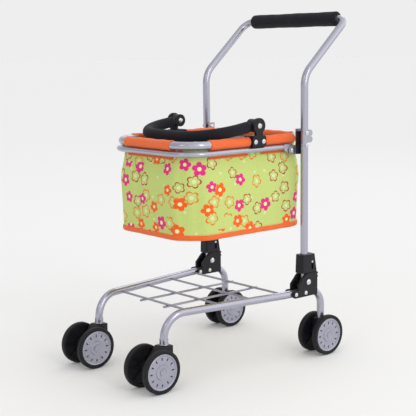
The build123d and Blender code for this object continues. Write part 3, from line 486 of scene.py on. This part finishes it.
weave_group.links.new(speckle(weave_group, given["Cut"], 260.0, 4.0), result["Slub"])


def woven(tree, shader, threads, relief):
    """Puts the shared weave on a cloth's shader by its cut. Returns the cut and the slub."""
    cut = tree.nodes.new("ShaderNodeUVMap")
    cut.uv_map = "cut"
    weave = tree.nodes.new("ShaderNodeGroup")
    weave.node_tree = weave_group
    weave.inputs["Threads"].default_value = threads
    tree.links.new(cut.outputs["UV"], weave.inputs["Cut"])
    bump = tree.nodes.new("ShaderNodeBump")
    bump.inputs["Strength"].default_value = 0.55
    bump.inputs["Distance"].default_value = relief
    tree.links.new(weave.outputs["Height"], bump.inputs["Height"])
    tree.links.new(bump.outputs["Normal"], shader.inputs["Normal"])
    rough = reckon(tree, "MULTIPLY_ADD", weave.outputs["Slub"], 0.2, 0.72)
    tree.links.new(rough, shader.inputs["Roughness"])
    return cut.outputs["UV"], weave.outputs["Slub"]


def plain_cloth(name, light, dark, threads=1500.0, relief=0.00012, sheen=0.25):
    """A cloth of one colour, a little uneven from thread to thread."""
    material, tree, shader = surface(name, Sheen_Weight=sheen, Sheen_Roughness=0.5, Specular_IOR_Level=0.25)
    _, slub = woven(tree, shader, threads, relief)
    tree.links.new(tinted(tree, slub, light, dark), shader.inputs["Base Color"])
    return material


flower_group, given, result = effect_group(
    "five_petal_flower",
    {
        "Cut": ("NodeSocketVector", None),
        "Per Metre": ("NodeSocketFloat", 26.0),
        "Shift": ("NodeSocketVector", None),
        "Smallest": ("NodeSocketFloat", 0.18),
        "Largest": ("NodeSocketFloat", 0.26),
    },
    {
        "Petals": "NodeSocketFloat",
        "Outline": "NodeSocketFloat",
        "Eye": "NodeSocketFloat",
        "Pick": "NodeSocketFloat",
        "Chance": "NodeSocketFloat",
    },
)
scaled = flower_group.nodes.new("ShaderNodeVectorMath")
scaled.operation = "SCALE"
flower_group.links.new(given["Cut"], scaled.inputs[0])
flower_group.links.new(given["Per Metre"], scaled.inputs["Scale"])
moved = flower_group.nodes.new("ShaderNodeVectorMath")
flower_group.links.new(scaled.outputs[0], moved.inputs[0])
flower_group.links.new(given["Shift"], moved.inputs[1])
cells = flower_group.nodes.new("ShaderNodeTexVoronoi")
cells.voronoi_dimensions = "2D"
cells.inputs["Scale"].default_value = 1.0
cells.inputs["Randomness"].default_value = 0.62
flower_group.links.new(moved.outputs[0], cells.inputs["Vector"])
offset = flower_group.nodes.new("ShaderNodeVectorMath")
offset.operation = "SUBTRACT"
flower_group.links.new(moved.outputs[0], offset.inputs[0])
flower_group.links.new(cells.outputs["Position"], offset.inputs[1])
axes = flower_group.nodes.new("ShaderNodeSeparateXYZ")
flower_group.links.new(offset.outputs[0], axes.inputs[0])
draw = flower_group.nodes.new("ShaderNodeSeparateColor")
flower_group.links.new(cells.outputs["Color"], draw.inputs[0])
x, y = axes.outputs[0], axes.outputs[1]
x_square = reckon(flower_group, "MULTIPLY", x, x)
y_square = reckon(flower_group, "MULTIPLY", y, y)
radius = reckon(flower_group, "SQRT", reckon(flower_group, "ADD", x_square, y_square))
angle = reckon(
    flower_group, "MULTIPLY_ADD", draw.outputs[1], 2 * math.pi, reckon(flower_group, "ARCTAN2", y, x)
)
fold = reckon(flower_group, "PINGPONG", angle, math.pi / 5)
swing = reckon(flower_group, "SUBTRACT", given["Largest"], given["Smallest"])
size = reckon(flower_group, "MULTIPLY_ADD", draw.outputs[0], swing, given["Smallest"])
across = reckon(flower_group, "SINE", fold)
bulge = reckon(flower_group, "MULTIPLY", reckon(flower_group, "MULTIPLY", across, across), 0.36)
bulge = reckon(flower_group, "SQRT", reckon(flower_group, "SUBTRACT", 0.1444, bulge))
petal_edge = reckon(flower_group, "MULTIPLY_ADD", reckon(flower_group, "COSINE", fold), 0.60, bulge)
outward_share = reckon(flower_group, "DIVIDE", radius, reckon(flower_group, "MULTIPLY", size, petal_edge))
inside = reckon(flower_group, "LESS_THAN", outward_share, 1.0)
deep = reckon(flower_group, "LESS_THAN", outward_share, 0.80)
eye = reckon(flower_group, "LESS_THAN", radius, reckon(flower_group, "MULTIPLY", size, 0.28))
flower_group.links.new(inside, result["Petals"])
flower_group.links.new(reckon(flower_group, "SUBTRACT", inside, deep), result["Outline"])
flower_group.links.new(eye, result["Eye"])
flower_group.links.new(draw.outputs[2], result["Pick"])
chance = reckon(flower_group, "FRACT", reckon(flower_group, "MULTIPLY", draw.outputs[0], 7.31))
flower_group.links.new(chance, result["Chance"])


def flowers(tree, cut, per_metre, shift, smallest, largest):
    """One scatter of flowers over a cut cloth."""
    scatter = tree.nodes.new("ShaderNodeGroup")
    scatter.node_tree = flower_group
    tree.links.new(cut, scatter.inputs["Cut"])
    values = {"Per Metre": per_metre, "Shift": shift, "Smallest": smallest, "Largest": largest}
    for label, value in values.items():
        scatter.inputs[label].default_value = value
    return scatter.outputs


def printed_cotton():
    """Lime cotton with pale dots, outlined flowers above and solid flowers below."""
    material, tree, shader = surface(
        "printed_cotton", Sheen_Weight=0.12, Sheen_Roughness=0.5, Specular_IOR_Level=0.15
    )
    cut, slub = woven(tree, shader, 1800.0, 0.00010)
    axes = tree.nodes.new("ShaderNodeSeparateXYZ")
    tree.links.new(cut, axes.inputs[0])
    down = axes.outputs[1]
    color = tinted(tree, slub, (0.60, 0.70, 0.225), (0.52, 0.625, 0.175))
    dots = tree.nodes.new("ShaderNodeTexVoronoi")
    dots.voronoi_dimensions = "2D"
    dots.inputs["Scale"].default_value = 26.0
    dots.inputs["Randomness"].default_value = 0.9
    tree.links.new(cut, dots.inputs["Vector"])
    dot = reckon(tree, "LESS_THAN", dots.outputs["Distance"], 0.062)
    color = tinted(tree, reckon(tree, "MULTIPLY", dot, 0.5), color, (0.84, 0.88, 0.60))
    outlined = flowers(tree, cut, 31.0, (3.3, 7.7, 0), 0.30, 0.38)
    drawn = reckon(tree, "LESS_THAN", outlined["Chance"], reckon(tree, "MULTIPLY_ADD", down, -2.6, 0.90))
    heart = reckon(tree, "MULTIPLY", outlined["Eye"], drawn)
    color = tinted(tree, reckon(tree, "MULTIPLY", heart, 0.6), color, (0.84, 0.86, 0.52))
    line = tinted(
        tree, reckon(tree, "GREATER_THAN", outlined["Pick"], 0.52), (0.42, 0.035, 0.055), (0.80, 0.17, 0.02)
    )
    color = tinted(tree, reckon(tree, "MULTIPLY", outlined["Outline"], drawn), color, line)
    solid = flowers(tree, cut, 29.5, (0.2, 0.45, 0), 0.29, 0.37)
    drawn = reckon(tree, "LESS_THAN", solid["Chance"], reckon(tree, "MULTIPLY_ADD", down, 4.6, 0.20))
    petal = tinted(
        tree, reckon(tree, "GREATER_THAN", solid["Pick"], 0.5), (0.76, 0.035, 0.22), (0.90, 0.13, 0.015)
    )
    petal = tinted(tree, solid["Eye"], petal, (0.84, 0.85, 0.45))
    color = tinted(tree, reckon(tree, "MULTIPLY", solid["Petals"], drawn), color, petal)
    tree.links.new(color, shader.inputs["Base Color"])
    return material


print_cloth = printed_cotton()
orange_cloth = plain_cloth("orange_cloth", (0.92, 0.165, 0.030), (0.80, 0.120, 0.018))
lining_cloth = plain_cloth("lining_cloth", (0.62, 0.62, 0.63), (0.50, 0.50, 0.52), 1300.0)

bag_low, bag_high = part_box("bag")
rear_corner, front_corner = 0.0215, 0.0385
side_run = bag_high.y - bag_low.y - rear_corner - front_corner
runs = [                                     # half the rear, then round by the left side
    ("straight", bag_high.x - rear_corner, 0),
    ("corner", rear_corner * math.pi / 2, rear_corner),
    ("straight", side_run, 0),
    ("corner", front_corner * math.pi / 2, front_corner),
    ("straight", 2 * (bag_high.x - front_corner), 0),
    ("corner", front_corner * math.pi / 2, front_corner),
    ("straight", side_run, 0),
    ("corner", rear_corner * math.pi / 2, rear_corner),
    ("straight", bag_high.x - rear_corner, 0),
]
bag_round = sum(length for _, length, _ in runs)


def round_the_bag(u):
    """Where u metres round the bag's upper edge is in plan, and which way faces out there.
    It starts at the middle of the rear and goes round by the left side."""
    place, heading = Vector((0, bag_high.y, 0)), Vector((1, 0, 0))
    for kind, length, corner_r in runs:
        part = min(max(u, 0.0), length)
        if kind == "straight":
            place = place + heading * part
        else:
            centre = place + Matrix.Rotation(-math.pi / 2, 3, "Z") @ heading * corner_r
            turn = Matrix.Rotation(-part / corner_r, 3, "Z")
            place, heading = centre + turn @ (place - centre), turn @ heading
        u -= length
        if u <= 0:
            break
    return place, Matrix.Rotation(math.pi / 2, 3, "Z") @ heading


def eased(value):
    """0 below 0, 1 above 1, and a smooth rise between."""
    value = min(max(value, 0.0), 1.0)
    return value * value * (3 - 2 * value)


corner_marks = []
reached = 0.0
for kind, length, _ in runs:
    if kind == "corner":
        corner_marks.append(reached + length / 2)
    reached += length
bag_top = 0.3795
bag_foot = bag_low.z
bag_drop = bag_top - bag_foot
bag_flare, bag_belly, corner_tuck = 0.0078, 0.0022, 0.0045
tuck_reach, ripple_height = 0.03, 0.0005
# places round the bag, width, depth and lean of each soft crease
creases = [
    (0.1330, 0.007, 0.0034, 0.006), (0.1925, 0.008, 0.0026, -0.004), (0.2480, 0.010, 0.0014, -0.010),
    (0.3170, 0.006, 0.0034, 0.004), (0.3440, 0.006, 0.0030, -0.004), (0.4420, 0.007, 0.0030, 0.006),
    (0.3980, 0.010, 0.0014, 0.008), (0.5100, 0.009, 0.0026, 0.004), (0.5750, 0.008, 0.0024, -0.008),
    (0.6300, 0.009, 0.0018, 0.007), (0.6950, 0.010, 0.0020, -0.006), (0.7700, 0.007, 0.0024, 0.006),
    (0.0400, 0.009, 0.0020, 0.006),
]


def bag_swell(u, depth):
    """How far the wall stands out of the CAD bag's side, u round it and depth down it."""
    share = depth / bag_drop
    swell = bag_flare * eased((depth - 0.012) / 0.05) + bag_belly * math.sin(math.pi * share)
    near = min(abs(u - mark) for mark in corner_marks)
    swell -= corner_tuck * eased(1 - near / tuck_reach) * eased((depth - 0.03) / 0.08)
    for mark, width, deep, lean in creases:
        away = (u - mark - lean * share) / width
        swell -= deep * math.exp(-away * away) * eased((depth - 0.004) / 0.04) * (1 - 0.6 * share)
    swell += ripple_height * math.sin(u * 95 + 3 * share) * eased(depth / 0.04) * (1 - share)
    return swell


def bag_wall(u, depth):
    """A point of the bag's wall."""
    place, outward = round_the_bag(u % bag_round)
    place = place + outward * bag_swell(u % bag_round, depth)
    return Vector((place.x, place.y, bag_top - depth))


def cut_cloth(name, length, width, along, across, placed, *materials):
    """A flat strip of cloth, its cut kept as its UV map, with every point carried to its place."""
    bm = bmesh.new()
    bmesh.ops.create_grid(bm, x_segments=along, y_segments=across, size=0.5)
    cut = bm.loops.layers.uv.new("cut")
    for face in bm.faces:
        for loop in face.loops:
            loop[cut].uv = ((loop.vert.co.x + 0.5) * length, (loop.vert.co.y + 0.5) * width)
    for vert in bm.verts:
        vert.co = placed((vert.co.x + 0.5) * length, (vert.co.y + 0.5) * width)
    bmesh.ops.remove_doubles(bm, verts=bm.verts, dist=1e-6)
    return as_object(name, bm, *materials)


def face_outwards(piece, middle):
    """Turns a cloth's faces so that they look away from the middle."""
    bm = bmesh.new()
    bm.from_mesh(piece.data)
    bm.normal_update()
    if sum((face.calc_center_median() - middle).dot(face.normal) * face.calc_area() for face in bm.faces) < 0:
        bmesh.ops.reverse_faces(bm, faces=bm.faces)
    bm.to_mesh(piece.data)
    bm.free()


def thicken(piece, thickness, inner_material=0, offset=-1.0):
    """Gives a cloth its thickness, inwards, with another material on its inner side."""
    solid = piece.modifiers.new("thickness", "SOLIDIFY")
    solid.thickness, solid.offset = thickness, offset
    solid.material_offset = inner_material
    return piece


bag_middle = Vector((0, (bag_low.y + bag_high.y) / 2, 0.3))
wall_steps, wall_rows, bag_thickness = 220, 36, 0.0009
wall = cut_cloth(
    "bag_wall", bag_round, bag_drop, wall_steps, wall_rows, bag_wall, print_cloth, lining_cloth
)
face_outwards(wall, bag_middle)
thicken(wall, bag_thickness, inner_material=1)
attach(wall, "basket")
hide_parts("bag")

# The panel under the board is cut to the foot's outline and sewn to the walls' lower edge.
panel_rise = Vector((0, 0, 0.0002))
bm = bmesh.new()
foot_ring = [
    bm.verts.new(bag_wall(bag_round * step / wall_steps, bag_drop) + panel_rise) for step in range(wall_steps)
]
panel = bm.faces.new(foot_ring)
for _ in range(4):
    bmesh.ops.inset_region(bm, faces=[panel], thickness=0.018, use_even_offset=True)
bmesh.ops.triangulate(bm, faces=[panel])
cut = bm.loops.layers.uv.new("cut")
for face in bm.faces:
    for loop in face.loops:
        loop[cut].uv = (loop.vert.co.x + 0.2, loop.vert.co.y + 0.3)
bmesh.ops.recalc_face_normals(bm, faces=bm.faces)
if sum(face.normal.z for face in bm.faces) > 0:
    bmesh.ops.reverse_faces(bm, faces=bm.faces)
floor_panel = as_object("bag_floor_panel", bm, print_cloth, lining_cloth)
thicken(floor_panel, bag_thickness, inner_material=1)
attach(floor_panel, "basket")


# A folded strip of orange cloth is sewn round the foot as piping, over the edge of the wall.
def piping_wall(u, around):
    """A point of the piping, around being metres round its section."""
    turn = 2 * math.pi * around / piping_girth
    place, outward = round_the_bag(u % bag_round)
    ripple = 1 + 0.05 * math.sin(u * 410) + 0.04 * math.sin(u * 173)
    bulge = max(piping_out + piping_half_width * ripple * math.cos(turn), -piping_inside)
    place = place + outward * (bag_swell(u % bag_round, bag_drop) + bulge)
    return Vector((place.x, place.y, bag_foot + piping_rise + piping_half_height * math.sin(turn)))


piping_girth = 0.0208
piping_out, piping_half_width, piping_inside = 0.0006, 0.0021, 0.0005
piping_rise, piping_half_height = 0.0041, 0.0043
piping = cut_cloth("foot_piping", bag_round, piping_girth, 440, 16, piping_wall, orange_cloth)
face_outwards(piping, bag_middle)
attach(piping, "basket")
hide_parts("bag_piping")

# Pale thread closes the foot seam with a row of short stitches just above the piping.
thread, _, _ = surface("pale_thread", Base_Color=(0.86, 0.50, 0.22, 1), Roughness=0.6)


def stitch_row(name, points, length, girth, body, material):
    """One row of stitches, each a small grain of thread laid along the next point's direction."""
    bm = bmesh.new()
    for here, ahead in points:
        facing = (ahead - here).normalized().to_track_quat("X", "Z")
        bmesh.ops.create_icosphere(
            bm, subdivisions=1, radius=1.0,
            matrix=Matrix.LocRotScale(here, facing, Vector((length / 2, girth / 2, girth / 2))),
        )
    row = as_object(name, bm, material)
    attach(row, body)
    return row


def round_stitches(depth, proud, pitch):
    """Points and directions for stitches round the bag at one depth."""
    count = int(bag_round / pitch)
    points = []
    for i in range(count):
        u = bag_round * i / count
        pair = []
        for step in (0.0, 0.001):
            place, outward = round_the_bag((u + step) % bag_round)
            place = place + outward * (bag_swell((u + step) % bag_round, depth) + proud)
            pair.append(Vector((place.x, place.y, bag_top - depth)))
        points.append(pair)
    return points


foot_stitches = stitch_row(
    "foot_stitches", round_stitches(bag_drop - 0.0098, 0.0001, 0.0032), 0.0021, 0.0006, "basket", thread
)


# ---------------------------------------------------------------- rim sleeves
# Strips of orange cloth fold over the straight runs of the rim and are sewn together below
# it, so that they carry the bag. Each end is hemmed, and a flap hangs down behind the hoop.
rim_low, rim_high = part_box("basket_rim")
rim_z = (rim_low.z + rim_high.z) / 2
sleeve_r = 0.0083
sleeve_thickness = 0.0006
hem_length, hem_thickness, stitch_groove, edge_turn = 0.0030, 0.00035, 0.00025, 0.0011
sleeve_girth = 2 * math.pi * sleeve_r


def sleeve_cloth(name, start, end):
    """A sleeve round the rim from start to end, drawn in at its hemmed ends."""
    run_length = (end - start).length
    ahead = (end - start).normalized()
    aside = Vector((0, 0, 1)).cross(ahead)

    def placed(u, around):
        turn = 2 * math.pi * around / sleeve_girth - math.pi / 2
        from_end = min(u, run_length - u)
        upper = 0.5 + 0.5 * math.sin(turn)
        slack = 0.00028 * math.sin(u * 210 + 2.1 * math.cos(turn))
        slack += 0.00020 * math.sin(u * 97 - 3 * math.sin(turn))
        r = sleeve_r + slack * (0.3 + 0.7 * upper)
        r += hem_thickness * (1 - eased((from_end - hem_length) / 0.0016))
        r -= stitch_groove * math.exp(-(((from_end - 0.0040) / 0.0006) ** 2))
        r -= edge_turn * (1 - eased(from_end / 0.0007))
        return start + ahead * u + (aside * math.cos(turn) + Vector((0, 0, 1)) * math.sin(turn)) * r

    steps = max(12, round(run_length / 0.0012))
    part = cut_cloth(name, run_length, sleeve_girth, steps, 32, placed, orange_cloth)
    bm = bmesh.new()
    bm.from_mesh(part.data)
    bm.normal_update()
    facing_out = 0.0
    for face in bm.faces:
        arm = face.calc_center_median() - start
        facing_out += (arm - ahead * arm.dot(ahead)).dot(face.normal)
    if facing_out < 0:
        bmesh.ops.reverse_faces(bm, faces=bm.faces)
    bm.to_mesh(part.data)
    bm.free()
    return part


def finished_sleeve(name, parts, node):
    """Joins the sleeves that stand for one CAD node, and hangs them on the basket."""
    bm = bmesh.new()
    for part in parts:
        bm.from_mesh(part.data)
        bpy.data.objects.remove(part)
    sleeve = thicken(as_object(name, bm, orange_cloth), sleeve_thickness)
    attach(sleeve, "basket")
    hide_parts(node)
    return sleeve


for node in ("rim_sleeve_front", "rim_sleeve_rear"):
    low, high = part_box(node)
    y = (low.y + high.y) / 2
    part = sleeve_cloth("part", Vector((low.x, y, rim_z)), Vector((high.x, y, rim_z)))
    finished_sleeve(node + "_cloth", [part], node)
bracket_low, bracket_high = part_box("handle_bracket_left")
for side_name, side in sides.items():
    low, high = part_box(f"rim_sleeves_{side_name}")
    x = (low.x + high.x) / 2
    parts = [
        sleeve_cloth("part", Vector((x, from_y, rim_z)), Vector((x, to_y, rim_z)))
        for from_y, to_y in ((low.y, bracket_low.y), (bracket_high.y, high.y))
    ]
    node = f"rim_sleeves_{side_name}"
    finished_sleeve(node + "_cloth", parts, node)

# The seam allowance of each sleeve hangs outside the bag, and its lower edge shows as a
# narrow orange strip under the hoop. It ends in a folded hem, a little thicker than the rest.
side_start = runs[0][1] + runs[1][1]
front_start = side_start + runs[2][1] + runs[3][1]
flap_top, flap_foot = 0.0040, 0.0182         # depths below the bag's upper edge
flap_stand, flap_hem, flap_hem_top, flap_wave = 0.0006, 0.0006, 0.0155, 0.0002


def round_at(side, y):
    """How far round the bag the point at y on one of its sides is."""
    along = side_start + bag_high.y - rear_corner - y
    return along if side > 0 else bag_round - along


flap_runs = {
    "rim_sleeve_front": [(front_start, front_start + runs[4][1])],
    "rim_sleeve_rear": [(-runs[0][1], runs[0][1])],
}
for side_name, side in sides.items():
    low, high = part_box(f"rim_sleeves_{side_name}")
    spans = ((low.y, bracket_low.y), (bracket_high.y, high.y))
    flap_runs[f"rim_sleeves_{side_name}"] = [
        sorted((round_at(side, from_y), round_at(side, to_y))) for from_y, to_y in spans
    ]
for node, spans in flap_runs.items():
    bm = bmesh.new()
    flap_length = 0.0
    for start, end in spans:
        length = end - start
        flap_length += length

        def flap_point(u, drop):
            """A point of the flap, u along it and drop below its upper edge."""
            depth = flap_top + drop
            place, outward = round_the_bag((start + u) % bag_round)
            stand = bag_swell((start + u) % bag_round, depth) + flap_stand
            stand += flap_hem * eased((depth - flap_hem_top) / 0.0015)
            stand += flap_wave * math.sin(u * 160) * eased(drop / 0.01)
            place = place + outward * stand
            return Vector((place.x, place.y, bag_top - depth))

        steps = max(12, round(length / 0.0015))
        part = cut_cloth("part", length, flap_foot - flap_top, steps, 14, flap_point)
        bm.from_mesh(part.data)
        bpy.data.objects.remove(part)
    flap = as_object(node.replace("sleeve", "flap"), bm, orange_cloth)
    face_outwards(flap, bag_middle)
    thicken(flap, 0.0007, offset=1.0)
    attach(flap, "basket")

# At each corner, where the rim is bare, a facing of the printed cloth stands up inside it.
corner_spans = []
reached = 0.0
for kind, length, _ in runs:
    if kind == "corner":
        corner_spans.append((reached - 0.006, reached + length + 0.006))
    reached += length
facing_low, facing_high, facing_inset = 0.3735, 0.3895, 0.0062
bm = bmesh.new()
facing_length = 0.0
for start, end in corner_spans:
    length = end - start
    facing_length += length

    def facing_point(u, rise):
        """A point of the facing, u along it and rise above its lower edge."""
        place, outward = round_the_bag((start + u) % bag_round)
        wave = 0.0009 * math.sin((start + u) * 260) * eased(rise / 0.012)
        place = place - outward * (facing_inset + wave)
        crest = 0.0012 * math.sin((start + u) * 140 + 0.8)
        return Vector((place.x, place.y, facing_low + rise * (1 + crest / 0.016)))

    part = cut_cloth("part", length, facing_high - facing_low, 40, 12, facing_point)
    bm.from_mesh(part.data)
    bpy.data.objects.remove(part)
facing = as_object("corner_facings", bm, print_cloth, lining_cloth)
face_outwards(facing, bag_middle)
thicken(facing, 0.0008, inner_material=1)
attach(facing, "basket")

# ---------------------------------------------------------------- stiffening board
# A loose pale board, die-cut to the bag's foot, keeps the bottom flat. Its face is smooth
# and a little uneven in tone.
pale_board = skinned(
    "pale_board", (0.66, 0.66, 0.64), (0.56, 0.56, 0.545), 0.03, 0.0009, 0.55, 0.75, 0.00004,
    Specular_IOR_Level=0.3,
)
refinish(pale_board, "bottom_board")
